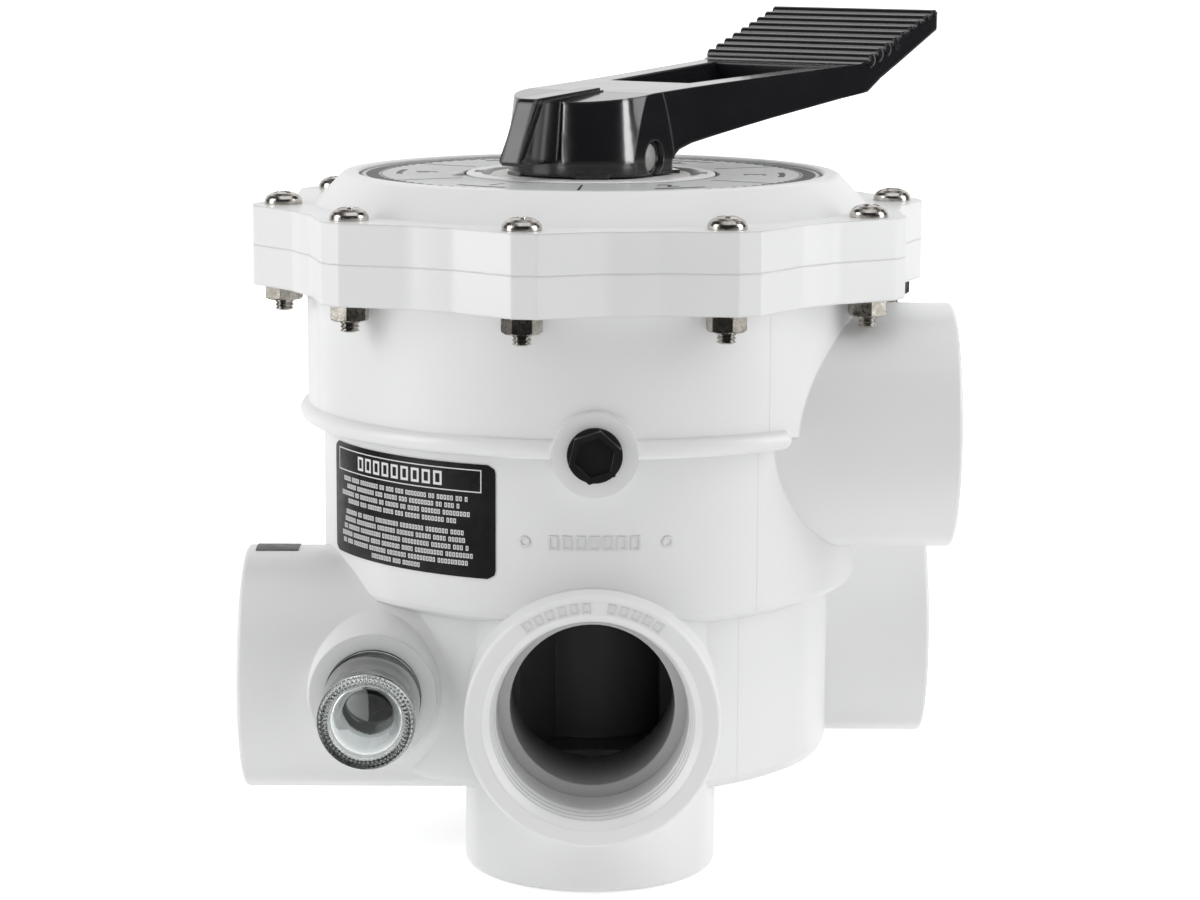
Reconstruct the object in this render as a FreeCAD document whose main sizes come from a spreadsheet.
import FreeCAD, Part
import math
import os

import Sketcher

# A six-position multiport valve for a pool filter, in millimetres.
# +Z is the stem axis, pointing up.  The origin is on that axis, in the plane of the bottom
# port's mouth.  The front (filter inlet) port faces -Y.  Angles named "turn" are counted about
# +Z from the front, positive towards +X.

Vector = FreeCAD.Vector

DIMENSIONS = {
    # drum, from the bottom up
    "lower_drum_radius": 80.3,
    "lower_drum_bottom": 27.0,
    "step_height": 85.2,
    "middle_drum_radius": 89.1,
    "rib_height": 141.6,
    "rib_radius": 96.9,
    "rib_tall": 6.3,
    "upper_drum_radius": 94.4,
    "seat_bottom": 92.0,
    "seat_top": 100.0,
    "chamber_radius": 84.0,
    "lower_chamber_radius": 74.0,
    "lower_chamber_floor": 33.0,
    "wall": 6.0,
    # bolted flange
    "flange_bottom": 184.0,
    "flange_split": 197.1,
    "flange_top": 210.0,
    "valley_radius": 103.2,
    "lug_tip": 112.0,
    "lug_tip_width": 8.0,
    "lug_side_reach": 30.0,
    "lug_side_drop": 15.0,
    "lug_lead": 1.5,
    "screw_count": 10.0,
    "first_screw_turn": -11.9,
    "screw_circle": 101.9,
    "screw_hole": 3.5,
    "screw_radius": 3.1,
    "screw_head_radius": 6.2,
    "screw_head_tall": 4.1,
    "screw_tail": 9.2,
    "nut_across_flats": 11.1,
    "nut_tall": 5.5,
    # pipe ports
    "port_radius": 40.0,
    "mouth_radius": 34.4,
    "thread_radius": 31.9,
    "mouth_chamfer": 2.5,
    "thread_depth": 10.0,
    "socket_radius": 30.15,
    "socket_depth": 24.0,
    "port_bore": 26.2,
    "inlet_x": 1.0,
    "inlet_height": 57.0,
    "inlet_face": 102.0,
    "barrel_y": 54.0,
    "barrel_radius": 40.5,
    "waste_reach": 113.2,
    "waste_y": 27.0,
    "waste_height": 58.0,
    "pump_reach": 118.2,
    "pump_y": 27.5,
    "pump_height": 139.7,
    "return_reach": 117.5,
    "return_y": 54.0,
    "return_height": 57.4,
    "outlet_bore": 20.0,
    # gauge plug
    "boss_x": 1.4,
    "boss_height": 140.5,
    "boss_radius": 13.4,
    "boss_face": 97.0,
    "plug_flats": 14.6,
    "plug_head_tall": 4.4,
    "plug_thread": 6.6,
    "plug_turn": 18.0,
    # sight glass
    "glass_x": -69.0,
    "glass_collar_radius": 20.5,
    "glass_collar_face": 72.5,
    "glass_radius": 15.4,
    "glass_end": 106.0,
    "glass_neck": 13.4,
    "glass_bore": 13.6,
    # cover
    "hub_base": 91.8,
    "hub_rim": 81.5,
    "hub_top": 220.3,
    "plate_radius": 76.4,
    "plate_pocket": 77.0,
    "plate_floor": 218.2,
    "plate_thick": 1.2,
    "collar_radius": 41.4,
    "collar_inner": 36.4,
    "collar_top": 219.9,
    "cover_ceiling": 212.0,
    "cover_chamber": 80.0,
    "spigot_radius": 83.8,
    "spigot_bottom": 186.6,
    "seal_step_radius": 88.2,
    "seal_step_depth": 3.6,
    "tube_radius": 14.0,
    "tube_bottom": 196.0,
    # rotor, spring and washers
    "stem_radius": 8.0,
    "running_gap": 0.05,
    "stem_top": 233.5,
    "rotor_radius": 79.5,
    "rotor_bottom": 104.05,
    "rotor_top": 118.0,
    "gasket_thick": 4.0,
    "washer_hole": 8.4,
    "washer_radius": 27.0,
    "washer_thick": 2.5,
    "spring_radius": 21.0,
    "wire_radius": 2.2,
    "spring_pitch": 11.0,
    # handle
    "handle_bearing": 56.5,
    "handle_bottom": 219.5,
    "pin_height": 225.7,
    "pin_radius": 4.5,
    "pin_reach": 22.6,
    "pin_recess": 5.6,
    "base_radius": 28.0,
    "base_top_radius": 25.4,
    "base_half_width": 25.0,
    "foot_radius": 27.2,
    "foot_bottom": 220.1,
    "foot_top": 224.7,
    "back_barrel_bottom": 8.0,
    "arm_start_top": 246.8,
    "bend_reach": 125.0,
    "bend_top": 251.9,
    "grip_reach": 181.0,
    "grip_top": 269.1,
    "grip_half_width": 35.0,
    "grip_thick": 5.6,
    "ridge_count": 9.0,
    "ridge_pitch": 5.9,
    "ridge_radius": 2.3,
    # stickers
    "label_bottom": 98.8,
    "label_top": 135.0,
    "label_start_turn": -68.0,
    "label_sweep": 48.7,
    "sticker_thick": 0.3,
}


class Size:
    """A length or an angle: its number, and the sheet expression that gives it."""

    def __init__(self, value, text):
        self.value = value
        self.text = text

    def joined(self, sign, other, value):
        return Size(value, "({} {} {})".format(self.text, sign, text_of(other)))

    def __add__(self, other):
        return self.joined("+", other, self.value + number_of(other))

    def __sub__(self, other):
        return self.joined("-", other, self.value - number_of(other))

    def __mul__(self, other):
        return self.joined("*", other, self.value * number_of(other))

    def __truediv__(self, other):
        return self.joined("/", other, self.value / number_of(other))

    def __neg__(self):
        return Size(-self.value, "(0 - {})".format(self.text))


def number_of(size):
    return size.value if isinstance(size, Size) else float(size)


def text_of(size):
    return size.text if isinstance(size, Size) else "{:g}".format(size)


class Sizes:
    """Gives each driving dimension of the sheet by its alias."""

    def __getattr__(self, alias):
        return Size(DIMENSIONS[alias], "Dims." + alias)


doc = FreeCAD.newDocument("MultiportValve")
d = Sizes()


def make_sheet():
    sheet = doc.addObject("Spreadsheet::Sheet", "Dims")
    for row, (alias, value) in enumerate(DIMENSIONS.items(), start=1):
        sheet.set("A{}".format(row), alias.replace("_", " "))
        sheet.set("B{}".format(row), str(value))
        sheet.setAlias("B{}".format(row), alias)
    doc.recompute()


# ---------------------------------------------------------------- building helpers

DIRECTIONS = {
    "+x": Vector(1, 0, 0),
    "-x": Vector(-1, 0, 0),
    "+y": Vector(0, 1, 0),
    "-y": Vector(0, -1, 0),
    "+z": Vector(0, 0, 1),
    "-z": Vector(0, 0, -1),
}


def rotation_to(direction):
    return FreeCAD.Rotation(Vector(0, 0, 1), DIRECTIONS[direction])


def about_z(degrees):
    return FreeCAD.Rotation(Vector(0, 0, 1), degrees)


def bind(thing, prop, size):
    """Set a property, bound to the sheet when the size comes from it."""
    if isinstance(size, Size):
        thing.setExpression(prop, size.text)
    else:
        setattr(thing, prop, size)


def place(thing, at=(0, 0, 0), rotation=None):
    thing.Placement = FreeCAD.Placement(
        Vector(*[number_of(value) for value in at]), rotation or FreeCAD.Rotation()
    )
    for axis, value in zip("xyz", at):
        if isinstance(value, Size):
            thing.setExpression("Placement.Base." + axis, value.text)
    return thing


def box(name, length, width, height, at, rotation=None):
    thing = doc.addObject("Part::Box", name)
    bind(thing, "Length", length)
    bind(thing, "Width", width)
    bind(thing, "Height", height)
    return place(thing, at, rotation)


def cylinder(name, radius, height, at=(0, 0, 0), direction="+z", sweep=360, start=0):
    thing = doc.addObject("Part::Cylinder", name)
    bind(thing, "Radius", radius)
    bind(thing, "Height", height)
    bind(thing, "Angle", sweep)
    return place(thing, at, rotation_to(direction) * about_z(start))


def cone(name, start_radius, end_radius, height, at=(0, 0, 0), direction="+z"):
    thing = doc.addObject("Part::Cone", name)
    bind(thing, "Radius1", start_radius)
    bind(thing, "Radius2", end_radius)
    bind(thing, "Height", height)
    return place(thing, at, rotation_to(direction))


def torus(name, ring_radius, section_radius, at):
    thing = doc.addObject("Part::Torus", name)
    bind(thing, "Radius1", ring_radius)
    bind(thing, "Radius2", section_radius)
    return place(thing, at)


def hexagon(name, across_flats, height, at, direction="+z", turn=0):
    thing = doc.addObject("Part::Prism", name)
    thing.Polygon = 6
    bind(thing, "Circumradius", across_flats / 2 / math.cos(math.radians(30)))
    bind(thing, "Height", height)
    return place(thing, at, rotation_to(direction) * about_z(turn))


def fuse(name, shapes):
    thing = doc.addObject("Part::MultiFuse", name)
    thing.Shapes = shapes
    thing.Refine = False
    return thing


def cut(name, base, tools):
    thing = doc.addObject("Part::Cut", name)
    thing.Base = base
    thing.Tool = tools[0] if len(tools) == 1 else fuse(name + "_tools", tools)
    return thing


def common(name, shapes):
    thing = doc.addObject("Part::MultiCommon", name)
    thing.Shapes = shapes
    return thing


def rounded(name, base, radius, wanted):
    """Fillet every edge of base that the test wanted(edge) picks."""
    doc.recompute()
    numbers = [i + 1 for i, edge in enumerate(base.Shape.Edges) if wanted(edge)]
    thing = doc.addObject("Part::Fillet", name)
    thing.Base = base
    thing.Edges = [(number, radius, radius) for number in numbers]
    return thing


def origin_plane(body, role):
    return [plane for plane in body.Origin.OriginFeatures if plane.Role == role][0]


def outline(body, name, role, points):
    """A closed sketch of straight sides whose corners are held by the sheet."""
    sketch = body.newObject("Sketcher::SketchObject", name)
    sketch.AttachmentSupport = [(origin_plane(body, role), "")]
    sketch.MapMode = "FlatFace"
    corners = [Vector(number_of(x), number_of(y), 0) for x, y in points]
    count = len(points)
    for i in range(count):
        sketch.addGeometry(Part.LineSegment(corners[i], corners[(i + 1) % count]))
    for i in range(count):
        sketch.addConstraint(Sketcher.Constraint("Coincident", i, 2, (i + 1) % count, 1))
    for i, point in enumerate(points):
        for kind, size in zip(("DistanceX", "DistanceY"), point):
            if number_of(size) == 0:
                link = "PointOnObject"
                line = -2 if kind == "DistanceX" else -1
                sketch.addConstraint(Sketcher.Constraint(link, i, 1, line))
                continue
            rule = Sketcher.Constraint(kind, -1, 1, i, 1, number_of(size))
            index = sketch.addConstraint(rule)
            if isinstance(size, Size):
                sketch.setExpression("Constraints[{}]".format(index), size.text)
    return sketch


def new_body(name):
    return doc.addObject("PartDesign::Body", name)


def turned(name, points, at=(0, 0, 0), direction="+z"):
    """A body of revolution about its own Z, from (radius, height) corners."""
    body = new_body(name)
    sketch = outline(body, name + "_profile", "XZ_Plane", points)
    feature = body.newObject("PartDesign::Revolution", name + "_turned")
    feature.Profile = sketch
    feature.ReferenceAxis = (sketch, ["V_Axis"])
    feature.Angle = 360
    place(body, at, rotation_to(direction))
    return body


def padded(name, role, points, depth, at=(0, 0, 0), symmetric=False):
    """A flat outline given a thickness."""
    body = new_body(name)
    sketch = outline(body, name + "_outline", role, points)
    feature = body.newObject("PartDesign::Pad", name + "_pad")
    feature.Profile = sketch
    bind(feature, "Length", depth)
    feature.Midplane = symmetric
    place(body, at)
    return body


def finished(thing, label):
    """Give a sub-part its name."""
    thing.Label = label
    PARTS[label] = thing
    return thing


PARTS = {}


def around(radius, turn):
    """The x and y of a point at this turn from the front."""
    angle = math.radians(turn)
    return radius * math.sin(angle), -radius * math.cos(angle)


def ring_copy(label, pattern, count, first_turn, own_turns):
    """The same piece, repeated around the stem axis as separate solids.

    own_turns says how far each one is turned about its own axis.
    """
    doc.recompute()
    step = 360.0 / count
    copies = []
    for i in range(int(count)):
        copy = pattern.Shape.copy()
        own_axis = Vector(0, -d.screw_circle.value, 0)
        copy.rotate(own_axis, Vector(0, 0, 1), own_turns[i])
        copy.rotate(Vector(0, 0, 0), Vector(0, 0, 1), first_turn + step * i)
        copies.append(copy)
    thing = doc.addObject("Part::Feature", label)
    thing.Shape = Part.makeCompound(copies)
    return finished(thing, label)


# ---------------------------------------------------------------- flange shared by body and cover

LUG_CORNER_ROUND = 1.2
VALLEY_ROUND = 14.0


def vertical(edge):
    start = edge.firstVertex().Point
    end = edge.lastVertex().Point
    return abs(start.x - end.x) < 1e-4 and abs(start.y - end.y) < 1e-4 and edge.Length > 1


def vertical_edges(shape, nearest, farthest):
    """Names of the upright edges whose distance from the stem axis is in this range."""
    names = []
    for number, edge in enumerate(shape.Edges, start=1):
        if not vertical(edge):
            continue
        at = edge.firstVertex().Point
        if nearest < math.hypot(at.x, at.y) < farthest:
            names.append("Edge{}".format(number))
    return names


def lug_flange(name, bottom, thick):
    """A disc with ten flat-ended lugs, its corners and valleys rounded."""
    body = new_body(name)
    half = d.lug_tip_width / 2
    drop = d.lug_tip - d.lug_side_drop
    root = d.chamber_radius
    points = [
        (-half, -d.lug_tip),
        (half, -d.lug_tip),
        (d.lug_side_reach, -drop),
        (d.lug_side_reach / 2, -root),
        (-d.lug_side_reach / 2, -root),
        (-d.lug_side_reach, -drop),
    ]
    disc_sketch = body.newObject("Sketcher::SketchObject", name + "_disc_outline")
    disc_sketch.AttachmentSupport = [(origin_plane(body, "XY_Plane"), "")]
    disc_sketch.MapMode = "FlatFace"
    disc_sketch.addGeometry(Part.Circle(Vector(0, 0, 0), Vector(0, 0, 1), d.valley_radius.value))
    disc_sketch.addConstraint(Sketcher.Constraint("Coincident", 0, 3, -1, 1))
    disc_sketch.addConstraint(Sketcher.Constraint("Radius", 0, d.valley_radius.value))
    disc_sketch.setExpression("Constraints[1]", d.valley_radius.text)
    disc = body.newObject("PartDesign::Pad", name + "_disc")
    disc.Profile = disc_sketch
    bind(disc, "Length", thick)
    lug = body.newObject("PartDesign::Pad", name + "_lug")
    lug.Profile = outline(body, name + "_lug_outline", "XY_Plane", points)
    bind(lug, "Length", thick)
    lugs = body.newObject("PartDesign::PolarPattern", name + "_lugs")
    lugs.Originals = [lug]
    lugs.Axis = (origin_plane(body, "Z_Axis"), [""])
    lugs.Angle = 360
    lugs.Occurrences = int(d.screw_count.value)
    body.Tip = lugs
    doc.recompute()
    tip_start = d.lug_tip.value - 0.1
    valleys = vertical_edges(lugs.Shape, d.valley_radius.value - 1, tip_start)
    valley_fillet = body.newObject("PartDesign::Fillet", name + "_valleys")
    valley_fillet.Base = (lugs, valleys)
    valley_fillet.Radius = VALLEY_ROUND
    body.Tip = valley_fillet
    doc.recompute()
    tips = vertical_edges(valley_fillet.Shape, tip_start, d.lug_tip.value + 5)
    tip_fillet = body.newObject("PartDesign::Fillet", name + "_tips")
    tip_fillet.Base = (valley_fillet, tips)
    tip_fillet.Radius = LUG_CORNER_ROUND
    body.Tip = tip_fillet
    return place(body, (0, 0, bottom), about_z(d.first_screw_turn.value + d.lug_lead.value))


def screw_holes(name, bottom, tall):
    """Ten clearance holes through the lugs, as tools."""
    holes = []
    step = 360.0 / d.screw_count.value
    for i in range(int(d.screw_count.value)):
        x, y = around(d.screw_circle.value, d.first_screw_turn.value + step * i)
        hole = cylinder("{}_{}".format(name, i + 1), d.screw_hole, tall, (x, y, bottom))
        holes.append(hole)
    return holes


# ---------------------------------------------------------------- valve body


THREAD_PITCH = 2.2
THREAD_TURNS = 3
# One thread groove: how far along the pitch each corner lies, and how deep.
THREAD_FORM = ((0.35, 0.0), (0.6, 0.55), (0.75, 0.55), (1.0, 0.0))


def port_cavity(name, at, direction, depth):
    """Chamfered mouth, tapered thread, pipe socket, shoulder and bore, as tools.

    at is the mouth's centre, direction the way into the port.
    """
    step = DIRECTIONS[direction]

    def moved(distance):
        place_in = []
        for value, part in zip(at, (step.x, step.y, step.z)):
            place_in.append(value + distance * part if part else value)
        return tuple(place_in)

    chamfer = cone(name + "_chamfer", d.mouth_radius, d.thread_radius, d.mouth_chamfer, at, direction)
    slant = (d.thread_radius - d.socket_radius) / (d.thread_depth - d.mouth_chamfer)
    profile = [(0, d.thread_depth), (0, 0), (d.thread_radius, 0)]
    for turn in range(THREAD_TURNS):
        low = turn * THREAD_PITCH
        for along, deep in THREAD_FORM:
            reach = low + along * THREAD_PITCH
            profile.append((d.thread_radius - slant * reach + deep, reach))
    profile.append((d.socket_radius, d.thread_depth - d.mouth_chamfer))
    profile.append((d.socket_radius, d.thread_depth))
    thread = turned(name + "_thread", profile, moved(d.mouth_chamfer), direction)
    socket = cylinder(name + "_socket", d.socket_radius, d.socket_depth, at, direction)
    bore = cylinder(name + "_bore", d.port_bore, depth, at, direction)
    return [chamfer, thread, socket, bore]


BARREL_BORE = 27.0
BARREL_FLOOR = 30.0
INLET_DEPTH = 60
INLET_TUBE_WALL = 5.0
INLET_RISER_RADIUS = 22.0
CHAMBER_WALL_TURNS = (-32, 72, 220)
PASSAGES = (("inlet", -22, 84), ("waste", -130, 88), ("return", 82, 128))
PASSAGE_INNER = 32.0
PASSAGE_OUTER = 69.0


def passage(name, start_turn, sweep, bottom, tall, inner=PASSAGE_INNER, outer=PASSAGE_OUTER):
    """A ring-sector opening, as a tool."""
    whole = cylinder(name + "_whole", outer, tall, (0, 0, bottom), "+z", sweep, start_turn - 90)
    core = cylinder(name + "_core", inner, tall, (0, 0, bottom))
    return cut(name, whole, [core])


def radial_bar(name, turn, inner, outer, width, bottom, tall):
    """A straight bar that points away from the stem axis."""
    x, y = around(inner, turn)
    side_x, side_y = around(number_of(width) / 2, turn - 90)
    rotation = about_z(turn - 90)
    return box(name, outer - inner, width, tall, (x + side_x, y + side_y, bottom), rotation)


def drum_outside():
    """Lower drum, stepped upper drum and its rounded bottom edge."""
    edge = 2.5
    return turned(
        "drum_outside",
        [
            (0, d.lower_drum_bottom),
            (d.lower_drum_radius - edge * 1.4, d.lower_drum_bottom),
            (d.lower_drum_radius - edge * 0.5, d.lower_drum_bottom + edge * 0.4),
            (d.lower_drum_radius, d.lower_drum_bottom + edge * 1.4),
            (d.lower_drum_radius, d.step_height - edge),
            (d.middle_drum_radius - edge, d.step_height),
            (d.middle_drum_radius - edge * 0.3, d.step_height + edge * 0.3),
            (d.middle_drum_radius, d.step_height + edge),
            (d.middle_drum_radius, d.rib_height),
            (d.upper_drum_radius, d.rib_height),
            (d.upper_drum_radius, d.flange_split),
            (0, d.flange_split),
        ],
    )


RIB_START_TURN = 40.0
RIB_SWEEP = 282.0


def rib_bead():
    """The half-round bead round the drum, open behind the pump port, with round ends."""
    ring = doc.addObject("Part::Torus", "rib_ring")
    bind(ring, "Radius2", d.rib_tall / 2)
    bind(ring, "Radius1", d.rib_radius - d.rib_tall / 2)
    ring.Angle3 = RIB_SWEEP
    place(ring, (0, 0, d.rib_height), about_z(RIB_START_TURN - RIB_SWEEP - 90))
    ends = []
    for number, turn in enumerate((RIB_START_TURN, RIB_START_TURN - RIB_SWEEP)):
        x, y = around(d.rib_radius.value - d.rib_tall.value / 2, turn)
        ball = doc.addObject("Part::Sphere", "rib_end_{}".format(number + 1))
        bind(ball, "Radius", d.rib_tall / 2)
        ends.append(place(ball, (x, y, d.rib_height)))
    return [ring] + ends


def barrel(name, y, bottom):
    """An upright closed barrel behind a side port, up to the drum's step, with a rounded foot."""
    at = (d.inlet_x / 2, y, bottom)
    plain = cylinder(name + "_plain", d.barrel_radius, d.step_height + 1 - bottom, at)

    def foot(edge):
        return abs(edge.BoundBox.ZMax - number_of(bottom)) < 1e-6

    return rounded(name, plain, 2.5, foot)


MOUTH_ROUND = 1.5


def port_pipe(name, reach, mouth, direction):
    """The outside of a port, from its mouth inwards, with a rounded outer edge at the mouth."""
    plain = cylinder(name, d.port_radius, reach, mouth, direction)
    centre = Vector(*[number_of(value) for value in mouth])

    def at_mouth(edge):
        return edge.isClosed() and (edge.CenterOfMass - centre).Length < 1e-3

    return rounded(name + "_rounded", plain, MOUTH_ROUND, at_mouth)


def glass_collar():
    """The raised collar that the sight glass screws into, with a flared root."""
    reach = d.glass_collar_face - d.waste_y
    at = (d.glass_x, -d.waste_y, d.waste_height)
    collar = cylinder("glass_collar", d.glass_collar_radius, reach, at, "-y")
    flare_at = (d.glass_x, -d.waste_y - d.port_radius + 12, d.waste_height)
    flare = cone("glass_flare", d.glass_collar_radius + 6, d.glass_collar_radius, 14, flare_at, "-y")
    return [collar, flare]


def valve_body():
    outside = [drum_outside()]
    outside += rib_bead()
    outside.append(lug_flange("body_flange", d.flange_bottom, d.flange_split - d.flange_bottom))
    outside.append(barrel("front_barrel", -d.barrel_y, 0))
    outside.append(barrel("back_barrel", d.barrel_y, d.back_barrel_bottom))
    inlet_at = (d.inlet_x, -d.inlet_face, d.inlet_height)
    outside.append(port_pipe("inlet_port", d.inlet_face - d.barrel_y, inlet_at, "+y"))
    waste_at = (-d.waste_reach, -d.waste_y, d.waste_height)
    outside.append(port_pipe("waste_port", d.waste_reach - 40, waste_at, "+x"))
    pump_at = (d.pump_reach, -d.pump_y, d.pump_height)
    outside.append(port_pipe("pump_port", d.pump_reach - 40, pump_at, "-x"))
    return_at = (d.return_reach, d.return_y, d.return_height)
    outside.append(port_pipe("return_port", d.return_reach, return_at, "-x"))
    outlet_at = (0, 0, 0)
    outside.append(port_pipe("outlet_port", d.lower_drum_bottom + 5, outlet_at, "+z"))
    boss_at = (d.boss_x, -d.chamber_radius, d.boss_height)
    outside.append(cylinder("plug_boss", d.boss_radius, d.boss_face - d.chamber_radius, boss_at, "-y"))
    outside += glass_collar()
    solid = fuse("body_outside", outside)

    hollows = [
        cylinder(
            "upper_chamber",
            d.chamber_radius,
            d.flange_split - d.seat_top + 1,
            (0, 0, d.seat_top),
        ),
        cylinder(
            "lower_chamber",
            d.lower_chamber_radius,
            d.seat_bottom - d.lower_chamber_floor,
            (0, 0, d.lower_chamber_floor),
        ),
        cylinder(
            "back_barrel_chamber",
            BARREL_BORE,
            d.seat_bottom - BARREL_FLOOR,
            (d.inlet_x / 2, d.barrel_y, BARREL_FLOOR),
        ),
        cylinder("seal_step", d.seal_step_radius, 10, (0, 0, d.flange_split - d.seal_step_depth)),
    ]
    hollow = cut("body_hollow", solid, hollows)

    inside = [cylinder("outlet_tube", d.outlet_bore + d.wall, d.seat_top - 10, (0, 0, 10))]
    tube_start = d.inlet_face - d.socket_depth
    tube_at = (d.inlet_x, -tube_start, d.inlet_height)
    tube_long = INLET_DEPTH - d.socket_depth.value
    inside.append(cylinder("inlet_tube", d.port_bore + INLET_TUBE_WALL, tube_long, tube_at, "+y"))
    for number, turn in enumerate(CHAMBER_WALL_TURNS):
        name = "chamber_wall_{}".format(number + 1)
        inside.append(radial_bar(name, turn, 20, 76, d.wall, 28, 68))
    ribbed = fuse("body_ribbed", [hollow] + inside)

    front = port_cavity("inlet", inlet_at, "+y", INLET_DEPTH)
    left = port_cavity("waste", waste_at, "+x", 62)
    pump = port_cavity("pump", pump_at, "-x", 80)
    back = port_cavity("return", return_at, "-x", 110)
    tools = front + left + pump + back
    riser_tall = d.seat_bottom - d.inlet_height + 1
    riser_at = (d.inlet_x, -d.barrel_y + 2, d.inlet_height)
    tools.append(cylinder("inlet_riser", INLET_RISER_RADIUS, riser_tall, riser_at))
    tools.append(cylinder("outlet_socket", d.socket_radius, d.socket_depth, outlet_at))
    tools.append(cylinder("outlet_bore", d.outlet_bore, d.seat_top + 1, outlet_at))
    for name, start, sweep in PASSAGES:
        tools.append(passage(name + "_passage", start, sweep, d.seat_bottom - 5, 20))
    plug_at = (d.boss_x, -d.boss_face - 1, d.boss_height)
    tools.append(cylinder("plug_hole", d.plug_thread + 0.1, 30, plug_at, "+y"))
    glass_at = (d.glass_x, -d.glass_collar_face - 1, d.waste_height)
    tools.append(cylinder("glass_hole", d.glass_bore, 36, glass_at, "+y"))
    tools += screw_holes("body_hole", d.flange_bottom - 1, 16)
    return finished(cut("valve_body", ribbed, tools), "valve_body")


# ---------------------------------------------------------------- cover and what sits on it

STEM_SEAL_HEIGHTS = (200.5, 207.0)
STEM_GROOVE_RADIUS = 11.0
STEM_GROOVE_TALL = 3.2
NOTCH_COUNT = 6
NOTCH_FIRST_TURN = -33.5
PEG_RADIUS = 44.8
PEG_TURN = -78.0


def cover():
    """Lugged lid with its raised hub, stem tube, o-ring grooves and locating spigot."""
    hub = turned(
        "cover_hub",
        [
            (0, d.cover_ceiling),
            (d.cover_chamber, d.cover_ceiling),
            (d.cover_chamber, d.spigot_bottom),
            (d.spigot_radius, d.spigot_bottom),
            (d.spigot_radius, d.flange_split),
            (d.hub_base, d.flange_split),
            (d.hub_base, d.flange_top),
            (d.hub_rim + 1.2, d.hub_top - 0.6),
            (d.hub_rim, d.hub_top),
            (d.plate_pocket + 0.8, d.hub_top),
            (d.plate_pocket, d.hub_top - 0.6),
            (d.plate_pocket, d.plate_floor),
            (d.collar_radius, d.plate_floor),
            (d.collar_radius, d.collar_top - 0.4),
            (d.collar_radius - 0.4, d.collar_top),
            (d.collar_inner + 0.4, d.collar_top),
            (d.collar_inner, d.collar_top - 0.4),
            (d.collar_inner, d.plate_floor),
            (0, d.plate_floor),
        ],
    )
    flange = lug_flange("cover_flange", d.flange_split, d.flange_top - d.flange_split)
    room_tall = d.cover_ceiling - d.flange_split + 1
    room = cylinder("cover_room", d.cover_chamber, room_tall, (0, 0, d.flange_split - 1))
    flange_ring = cut("cover_flange_ring", flange, [room])
    tube_tall = d.cover_ceiling - d.tube_bottom + 1
    tube = cylinder("stem_tube", d.tube_radius, tube_tall, (0, 0, d.tube_bottom))
    solid = fuse("cover_solid", [hub, flange_ring, tube])
    tools = [cylinder("stem_hole", d.stem_radius + d.running_gap, 60, (0, 0, 180))]
    for number, height in enumerate(STEM_SEAL_HEIGHTS):
        name = "stem_groove_{}".format(number + 1)
        bottom = height - STEM_GROOVE_TALL / 2
        tools.append(cylinder(name, STEM_GROOVE_RADIUS, STEM_GROOVE_TALL, (0, 0, bottom)))
    for number in range(NOTCH_COUNT):
        turn = NOTCH_FIRST_TURN + 360.0 / NOTCH_COUNT * number
        name = "detent_notch_{}".format(number + 1)
        tools.append(radial_bar(name, turn, 34, 38.6, 9.0, d.plate_floor + 0.6, 4))
    peg_x, peg_y = around(PEG_RADIUS, PEG_TURN)
    tools.append(cylinder("peg_hole", 1.5, 4, (peg_x, peg_y, d.plate_floor - 3)))
    tools += screw_holes("cover_hole", d.flange_split - 1, 16)
    return finished(cut("cover", solid, tools), "cover")


def position_plate():
    ring = cylinder("plate_disc", d.plate_radius, d.plate_thick, (0, 0, d.plate_floor + 0.05))
    centre = cylinder("plate_centre", d.collar_radius + 0.8, 5, (0, 0, d.plate_floor - 1))
    peg_x, peg_y = around(PEG_RADIUS, PEG_TURN)
    hole = cylinder("plate_peg_hole", 1.6, 5, (peg_x, peg_y, d.plate_floor - 1))
    finished(cut("position_plate", ring, [centre, hole]), "position_plate")


def plate_peg():
    x, y = around(PEG_RADIUS, PEG_TURN)
    peg = turned(
        "plate_peg",
        [
            (0, d.plate_floor - 2.8),
            (1.4, d.plate_floor - 2.8),
            (1.4, d.plate_floor + d.plate_thick + 0.1),
            (2.0, d.plate_floor + d.plate_thick + 0.1),
            (2.0, d.plate_floor + d.plate_thick + 0.7),
            (1.5, d.plate_floor + d.plate_thick + 1.0),
            (0, d.plate_floor + d.plate_thick + 1.0),
        ],
        (x, y, 0),
    )
    finished(peg, "plate_peg")


# ---------------------------------------------------------------- fasteners

SCREW_PITCH = 1.27
# How far each screw and nut is turned where it was left tight.
SCREW_TURNS = (20, 64, 5, 38, 81, 15, 50, 72, 33, 57)
NUT_TURNS = (-17, -9, 7, -12, 21, -4, 14, -21, 16, -17)


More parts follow.
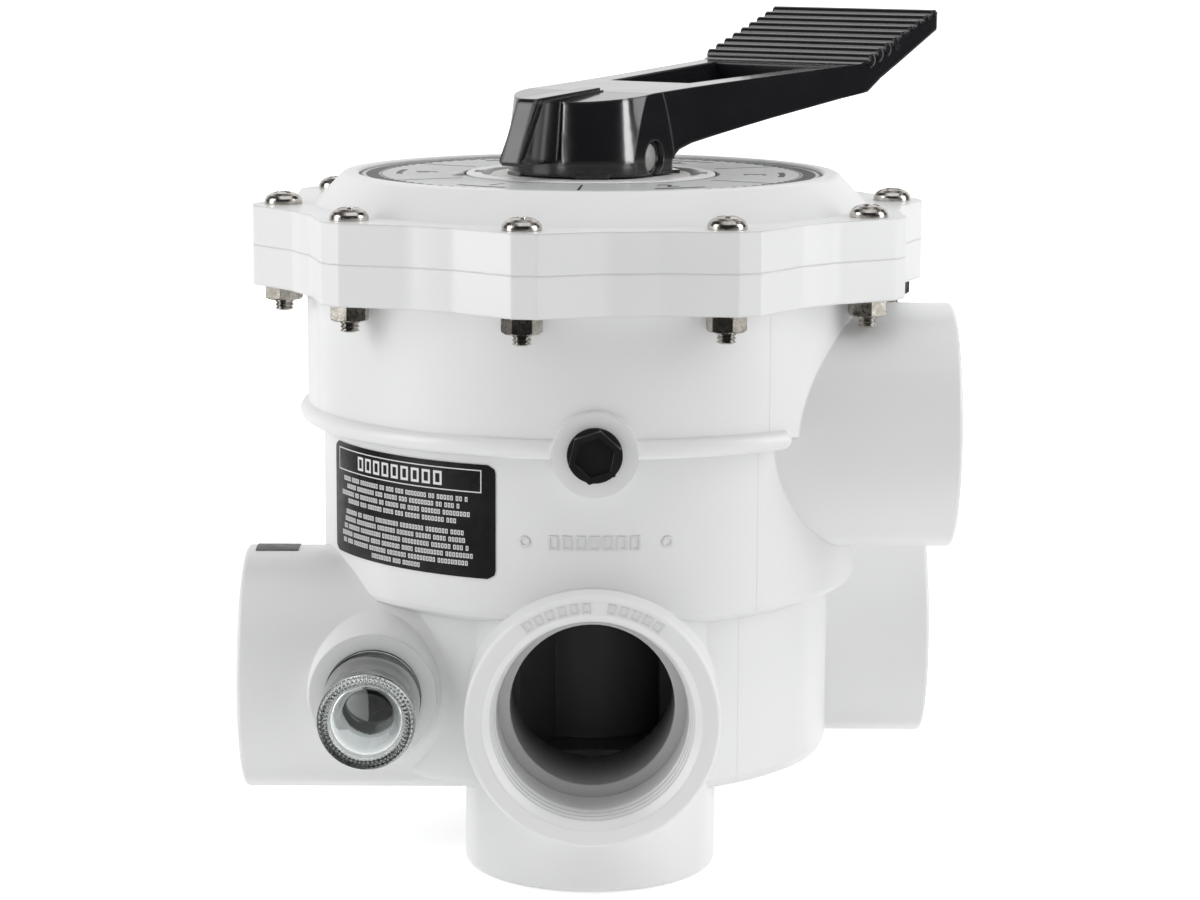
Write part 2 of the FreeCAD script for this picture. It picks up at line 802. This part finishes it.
def cover_screws():
    """Pan-head screws with a cross recess and a few open thread turns below the nut."""
    head = d.screw_head_radius
    top = d.flange_top + 0.02
    tip = d.flange_bottom - d.screw_tail
    points = [
        (0, tip),
        (d.screw_radius - 0.9, tip),
    ]
    for turn in range(2):
        low = tip + (turn * SCREW_PITCH + 0.35)
        points.append((d.screw_radius, low + 0.15))
        points.append((d.screw_radius - 0.55, low + SCREW_PITCH * 0.6))
    points += [
        (d.screw_radius, tip + 2.9),
        (d.screw_radius, top),
        (head, top),
        (head, top + 1.1),
        (head * 0.96, top + 1.8),
        (head * 0.85, top + 2.7),
        (head * 0.65, top + 3.45),
        (head * 0.4, top + 3.9),
        (head * 0.15, top + d.screw_head_tall),
        (0, top + d.screw_head_tall),
    ]
    plain = turned("screw_turned", points)
    long_slot = box("cross_long", 1.5, 7.0, 3, (-0.75, -3.5, top + 2.7))
    cross_slot = box("cross_wide", 7.0, 1.5, 3, (-3.5, -0.75, top + 2.7))
    centre = cone("cross_centre", 0.9, 1.9, 3.4, (0, 0, top + 1.4))
    screw = cut("screw", plain, [long_slot, cross_slot, centre])
    place(screw, (0, -d.screw_circle, 0))
    ring_copy("cover_screws", screw, d.screw_count.value, d.first_screw_turn.value, SCREW_TURNS)


def cover_nuts():
    """Hex nuts, their corners turned off at both faces."""
    low = d.flange_bottom - d.nut_tall - 0.02
    blank = hexagon("nut_blank", d.nut_across_flats, d.nut_tall, (0, 0, low), turn=30)
    corner = d.nut_across_flats.value / 2 / math.cos(math.radians(30))
    turned_off = turned(
        "nut_chamfer",
        [
            (0, low),
            (corner - 0.9, low),
            (corner, low + 0.6),
            (corner, low + d.nut_tall - 0.6),
            (corner - 0.9, low + d.nut_tall),
            (0, low + d.nut_tall),
        ],
    )
    shaped = common("nut_shaped", [blank, turned_off])
    hole = cylinder("nut_hole", d.screw_radius + 0.1, 12, (0, 0, low - 2))
    nut = cut("nut", shaped, [hole])
    place(nut, (0, -d.screw_circle, 0))
    ring_copy("cover_nuts", nut, d.screw_count.value, d.first_screw_turn.value, NUT_TURNS)


# ---------------------------------------------------------------- plug, glass and seals

PLUG_SEAL_THICK = 1.5
GLASS_SEAL_THICK = 0.9
GLASS_SEAL_RADIUS = 15.5
COVER_RING_RADIUS = 86.0
COVER_RING_SECTION = 1.75
STEM_RING_RADIUS = 9.5
STEM_RING_SECTION = 1.42
GASKET_RIM_INNER = 71.0
GASKET_HUB_RADIUS = 28.0
GASKET_SPOKE_WIDTH = 6.0


def gauge_plug():
    face = d.boss_face + PLUG_SEAL_THICK + 0.02
    at = (d.boss_x, -face, d.boss_height)
    head = hexagon("plug_head", d.plug_flats, d.plug_head_tall, at, "-y", d.plug_turn.value)
    thread = cylinder("plug_thread", d.plug_thread, 12, at, "+y")
    solid = fuse("plug_solid", [head, thread])
    recess_at = (d.boss_x, -face - d.plug_head_tall - 0.1, d.boss_height)
    recess = hexagon("plug_recess", d.plug_flats - 3.6, 1.3, recess_at, "+y", -d.plug_turn.value)
    finished(cut("gauge_plug", solid, [recess]), "gauge_plug")
    seal_at = (d.boss_x, -d.boss_face - 0.01, d.boss_height)
    outer = cylinder("plug_seal_outer", 8.6, PLUG_SEAL_THICK, seal_at, "-y")
    inner_at = (d.boss_x, -d.boss_face + 7, d.boss_height)
    inner = cylinder("plug_seal_inner", d.plug_thread + 0.15, 14, inner_at, "-y")
    finished(cut("gauge_plug_seal", outer, [inner]), "gauge_plug_seal")


def sight_glass():
    """A thick clear cup, closed and dished at its outer end, on a neck that screws in."""
    face = d.glass_collar_face + GLASS_SEAL_THICK + 0.02
    end = d.glass_end
    glass = turned(
        "sight_glass",
        [
            (12.0, face - 13),
            (d.glass_neck, face - 13),
            (d.glass_neck, face),
            (d.glass_radius, face),
            (d.glass_radius, end - 4),
            (d.glass_radius - 0.4, end - 2.2),
            (d.glass_radius - 1.2, end - 0.8),
            (d.glass_radius - 2.4, end),
            (d.glass_radius - 3.8, end - 0.3),
            (d.glass_radius - 5.2, end - 1.2),
            (0, end - 2.0),
            (0, end - 6.2),
            (8.0, end - 6.2),
            (11.0, end - 7.4),
            (12.0, end - 10),
        ],
        (d.glass_x, 0, d.waste_height),
        "-y",
    )
    finished(glass, "sight_glass")
    seal_at = (d.glass_x, -d.glass_collar_face - 0.01, d.waste_height)
    outer = cylinder("glass_seal_outer", GLASS_SEAL_RADIUS, GLASS_SEAL_THICK, seal_at, "-y")
    inner_at = (d.glass_x, -d.glass_collar_face + 2, d.waste_height)
    inner = cylinder("glass_seal_inner", d.glass_neck + 0.1, 8, inner_at, "-y")
    finished(cut("sight_glass_seal", outer, [inner]), "sight_glass_seal")


def cover_o_ring():
    height = d.flange_split - d.seal_step_depth / 2
    ring = torus("cover_o_ring", COVER_RING_RADIUS, COVER_RING_SECTION, (0, 0, height))
    finished(ring, "cover_o_ring")


def stem_o_rings():
    rings = []
    for number, height in enumerate(STEM_SEAL_HEIGHTS):
        name = "stem_o_ring_{}".format(number + 1)
        rings.append(torus(name, STEM_RING_RADIUS, STEM_RING_SECTION, (0, 0, height)))
    compound = doc.addObject("Part::Compound", "stem_o_rings")
    compound.Links = rings
    finished(compound, "stem_o_rings")


def seat_gasket():
    """The spoked gasket between the seat plate and the rotor."""
    bottom = d.seat_top + 0.01
    rim = cut(
        "gasket_rim",
        cylinder("gasket_rim_disc", d.rotor_radius, d.gasket_thick, (0, 0, bottom)),
        [cylinder("gasket_rim_hole", GASKET_RIM_INNER, 12, (0, 0, d.seat_top - 2))],
    )
    hub = cut(
        "gasket_hub",
        cylinder("gasket_hub_disc", GASKET_HUB_RADIUS, d.gasket_thick, (0, 0, bottom)),
        [cylinder("gasket_hub_hole", d.outlet_bore + 0.5, 12, (0, 0, d.seat_top - 2))],
    )
    spokes = []
    for number, turn in enumerate(CHAMBER_WALL_TURNS):
        name = "gasket_spoke_{}".format(number + 1)
        width = GASKET_SPOKE_WIDTH
        spokes.append(radial_bar(name, turn, 24, 74, width, bottom, d.gasket_thick))
    finished(fuse("seat_gasket", [rim, hub] + spokes), "seat_gasket")


# ---------------------------------------------------------------- rotor, spring and washers


def rotor():
    """Diverter disc with its stem: one window through it, one blind pocket under it."""
    disc = cylinder("rotor_disc", d.rotor_radius, d.rotor_top - d.rotor_bottom, (0, 0, d.rotor_bottom))
    stem = cylinder("rotor_stem", d.stem_radius, d.stem_top - d.rotor_top, (0, 0, d.rotor_top))
    solid = fuse("rotor_solid", [disc, stem])
    window = passage("rotor_window", -22, 84, d.rotor_bottom - 1, 20)
    pocket = passage("rotor_pocket", 82, 128, d.rotor_bottom - 1, 10, 10.0, PASSAGE_OUTER)
    centre = cylinder("rotor_centre", 18.0, 10, (0, 0, d.rotor_bottom - 1))
    pin_hole = cylinder("pin_hole", d.pin_radius + 0.02, 40)
    place(pin_hole, pin_point(-20), pin_rotation())
    finished(cut("rotor", solid, [window, pocket, centre, pin_hole]), "rotor")


def pin_rotation():
    """Turns +Z to the pin's own direction, square to the lever."""
    return about_z(d.handle_bearing.value) * FreeCAD.Rotation(Vector(0, 0, 1), Vector(0, 1, 0))


def pin_point(along):
    """A point on the pin's axis, this far from the stem axis."""
    angle = math.radians(d.handle_bearing.value + 90)
    return (along * math.cos(angle), along * math.sin(angle), d.pin_height)


def flat_washer(label, hole, radius, thick, bottom):
    disc = cylinder(label + "_disc", radius, thick, (0, 0, bottom))
    middle = cylinder(label + "_hole", hole, thick + 2, (0, 0, bottom - 1))
    finished(cut(label, disc, [middle]), label)


def spring_bottom():
    return d.rotor_top + d.washer_thick + 0.1


def spring_top():
    return d.cover_ceiling - d.washer_thick - 0.1


def spring():
    """Round-wire compression spring that holds the rotor down on its gasket."""
    low = spring_bottom() + d.wire_radius
    coil = doc.addObject("Part::Helix", "spring_coil")
    bind(coil, "Pitch", d.spring_pitch)
    bind(coil, "Height", spring_top() - spring_bottom() - d.wire_radius * 2)
    bind(coil, "Radius", d.spring_radius)
    place(coil, (0, 0, low))
    wire = doc.addObject("Part::Circle", "spring_wire")
    bind(wire, "Radius", d.wire_radius)
    upright = FreeCAD.Rotation(Vector(1, 0, 0), 90)
    place(wire, (d.spring_radius, 0, low), upright)
    sweep = doc.addObject("Part::Sweep", "spring")
    sweep.Sections = [wire]
    sweep.Spine = (coil, ["Edge1"])
    sweep.Solid = True
    sweep.Frenet = True
    finished(sweep, "spring")


HANDLE_WASHER_RADIUS = 33.0
HANDLE_WASHER_THICK = 1.2


def washers():
    flat_washer("spring_lower_washer", d.washer_hole, d.washer_radius, d.washer_thick, d.rotor_top + 0.05)
    top = d.cover_ceiling - d.washer_thick - 0.05
    flat_washer("spring_upper_washer", d.tube_radius + 0.4, d.washer_radius, d.washer_thick, top)
    bottom = d.plate_floor + 0.05
    flat_washer("handle_washer", d.washer_hole, HANDLE_WASHER_RADIUS, HANDLE_WASHER_THICK, bottom)


# ---------------------------------------------------------------- handle

FULCRUM_REACH = 29.2
FRONT_FOOT_REACH = 27.6
RELIEF_START = 21.5
RELIEF_SLOPE = math.tan(math.radians(14))
NOSE_WIDTH = 6.8
NOSE_SHOULDER_WIDTH = 9.6


def arm_side():
    """The lever seen from the side: flat top, bend, rising grip and hollowed underside."""
    return padded(
        "arm_side",
        "XZ_Plane",
        [
            (0, d.arm_start_top),
            (d.bend_reach, d.bend_top),
            (d.grip_reach, d.grip_top),
            (d.grip_reach + 1.3, d.grip_top - 1.0),
            (d.grip_reach + 1.6, d.grip_top - 3.0),
            (d.grip_reach - 0.5, d.grip_top - d.grip_thick),
            (d.bend_reach + 26, d.bend_top - 0.6),
            (d.bend_reach + 14, d.bend_top - 5.4),
            (d.bend_reach + 5, d.bend_top - 10.0),
            (71, 235.2),
            (31, 230.2),
            (23, 229.2),
            (15.5, 227.5),
            (11.5, 225.0),
            (10, 221.8),
            (0, 221.8),
        ],
        d.grip_half_width * 2 + 20,
        symmetric=True,
    )


def arm_plan():
    """The lever seen from above: it widens from the base to the grip."""
    half = d.grip_half_width
    side = [
        (0, d.base_half_width - 0.1),
        (24, d.base_half_width - 0.02),
        (38, d.base_half_width + 0.4),
        (56, d.base_half_width + 1.5),
        (d.bend_reach - 10, half - 3.8),
        (d.bend_reach + 2, half - 2.0),
        (d.grip_reach - 2.5, half),
        (d.grip_reach + 0.2, half - 1.1),
        (d.grip_reach + 2.0, half - 4.5),
    ]
    mirrored = [(x, -y if isinstance(y, Size) else -float(y)) for x, y in reversed(side)]
    return padded("arm_plan", "XY_Plane", side + mirrored, 80, (0, 0, 205))


def nose():
    """The pointer: a narrow blade that runs down in front of the base and back over its top."""
    low = d.foot_top
    return padded(
        "nose",
        "XZ_Plane",
        [
            (-18, low),
            (-46.8, low),
            (-47.6, low + 1.2),
            (-38.4, d.arm_start_top - 2.0),
            (-37.2, d.arm_start_top - 1.0),
            (0, d.arm_start_top + 1.1),
            (1, d.arm_start_top - 2),
            (-18, d.arm_start_top - 6),
        ],
        NOSE_WIDTH,
        symmetric=True,
    )


def nose_shoulder():
    """A lower and wider step along both sides of the pointer."""
    low = d.foot_top + 0.6
    return padded(
        "nose_shoulder",
        "XZ_Plane",
        [
            (-18, low),
            (-45.8, low),
            (-46.3, low + 1.0),
            (-35.2, d.arm_start_top - 2.6),
            (-34.0, d.arm_start_top - 1.9),
            (0, d.arm_start_top + 0.4),
            (1, d.arm_start_top - 2),
            (-18, d.arm_start_top - 6),
        ],
        NOSE_SHOULDER_WIDTH,
        symmetric=True,
    )


def base_drum():
    """The tapered drum under the lever's end: flat sides, top sloped down towards the pointer."""
    tall = d.arm_start_top - d.foot_top
    drum = cone("base_cone", d.base_radius, d.base_top_radius, tall, (0, 0, d.foot_top))
    foot = cylinder("base_foot", d.foot_radius, d.foot_top - d.foot_bottom, (0, 0, d.foot_bottom))
    sides_at = (-40, -d.base_half_width, d.handle_bottom)
    sides = box("base_sides", 80, d.base_half_width * 2, 60, sides_at)
    flat_sided = common("base_flat_sided", [fuse("base_round", [drum, foot]), sides])
    slope = padded(
        "base_slope",
        "XZ_Plane",
        [
            (0, d.arm_start_top),
            (0, d.arm_start_top + 10),
            (-40, d.arm_start_top + 10),
            (-40, d.arm_start_top - 4.0),
        ],
        80,
        symmetric=True,
    )
    return cut("base_drum", flat_sided, [slope])


def cam_feet():
    """Four short feet under the base; the two on the grip's side are the lever's fulcrum."""
    feet = []
    for number, (angle, reach) in enumerate(
        ((42, FULCRUM_REACH), (146, FRONT_FOOT_REACH), (214, FRONT_FOOT_REACH), (318, FULCRUM_REACH))
    ):
        name = "cam_foot_{}".format(number + 1)
        tall = d.foot_bottom - d.handle_bottom + 0.5
        feet.append(radial_bar(name, angle + 90, 18, reach, 11.0, d.handle_bottom, tall))
    return feet


def grip_ridges():
    """Round ribs across the grip."""
    rise = (d.grip_top.value - d.bend_top.value) / (d.grip_reach.value - d.bend_reach.value)
    ridges = []
    for number in range(int(d.ridge_count.value)):
        reach = d.grip_reach.value - 2.4 - number * d.ridge_pitch.value
        height = d.bend_top.value + (reach - d.bend_reach.value) * rise
        at = (reach, -(d.grip_half_width - 1.0), height - 0.7)
        name = "grip_ridge_{}".format(number + 1)
        ridges.append(cylinder(name, d.ridge_radius, (d.grip_half_width - 1.0) * 2, at, "+y"))
    return ridges


def handle():
    """Glossy lever: base drum, pointer, windowed arm and ribbed grip."""
    arm = common("arm", [arm_side(), arm_plan()])
    base = [base_drum(), nose(), nose_shoulder()]
    solid = fuse("handle_solid", [arm] + base + cam_feet() + grip_ridges())
    window_plan = padded(
        "window_plan",
        "XY_Plane",
        [(36, 16.0), (117, 23.4), (117, -23.4), (36, -16.0)],
        60,
        (0, 0, 220),
    )
    relief = padded(
        "fulcrum_relief",
        "XZ_Plane",
        [
            (RELIEF_START, d.handle_bottom),
            (60, d.handle_bottom),
            (60, d.handle_bottom + (60 - RELIEF_START) * RELIEF_SLOPE),
        ],
        80,
        symmetric=True,
    )
    stem_slot = box("stem_slot", 24, 16.6, 17.5, (-12, -8.3, d.handle_bottom - 1))
    pin_bore = cylinder("pin_bore", d.pin_radius + 0.06, 80, (0, -40, d.pin_height), "+y")
    tools = [window_plan, relief, stem_slot, pin_bore]
    for direction, side in (("+y", 1), ("-y", -1)):
        recess_at = (0, (d.pin_reach + 0.05) * side, d.pin_height)
        tools.append(cylinder("pin_recess_" + direction[1], d.pin_recess, 20, recess_at, direction))
    shaped = cut("handle_shaped", solid, tools)
    place(shaped, (0, 0, 0), about_z(d.handle_bearing.value))
    finished(shaped, "handle")


def handle_pin():
    reach = d.pin_reach
    pin = cylinder("handle_pin", d.pin_radius, reach * 2, (0, 0, 0))
    place(pin, pin_point(-reach.value), pin_rotation())
    finished(pin, "handle_pin")


# ---------------------------------------------------------------- stickers


def curved_sticker(label, radius, start_turn, sweep, bottom, tall):
    gap = 0.02
    outer = cylinder(
        label + "_outer",
        radius + (d.sticker_thick + gap),
        tall,
        (0, 0, bottom),
        "+z",
        sweep,
        number_of(start_turn) - 90,
    )
    inner = cylinder(label + "_inner", radius + gap, tall + 2, (0, 0, bottom - 1))
    return finished(cut(label, outer, [inner]), label)


def body_label():
    tall = d.label_top - d.label_bottom
    curved_sticker(
        "body_label", d.middle_drum_radius, d.label_start_turn, d.label_sweep, d.label_bottom, tall
    )


def port_sticker():
    """A small tab on top of the waste port, near its mouth."""
    sweep = 16.0
    length = 14.0
    at = (-d.waste_reach + 3.5, -d.waste_y, d.waste_height)
    start = 180 - sweep / 2
    outer = cylinder("tab_outer", d.port_radius + 0.32, length, at, "+x", sweep, start)
    inner = cylinder("tab_inner", d.port_radius + 0.02, length + 2, at, "+x")
    finished(cut("port_sticker", outer, [inner]), "port_sticker")


# ---------------------------------------------------------------- build, check and write


def check_document():
    doc.recompute()
    for thing in doc.Objects:
        bad = [word for word in thing.State if word in ("Invalid", "Error")]
        if bad:
            raise RuntimeError("{} is {}".format(thing.Label, bad))


def write_parts():
    os.makedirs("parts", exist_ok=True)
    for label, thing in PARTS.items():
        shape = thing.Shape
        if shape.isNull() or not shape.isValid():
            raise RuntimeError(label + " has no valid shape")
        shape.exportStep(os.path.join("parts", label + ".step"))
        print(label, len(shape.Solids), "solids", round(shape.Volume / 1000, 2), "cm3")


make_sheet()
valve_body()
cover()
position_plate()
plate_peg()
cover_screws()
cover_nuts()
gauge_plug()
sight_glass()
cover_o_ring()
stem_o_rings()
seat_gasket()
rotor()
spring()
washers()
handle()
handle_pin()
body_label()
port_sticker()
check_document()
write_parts()
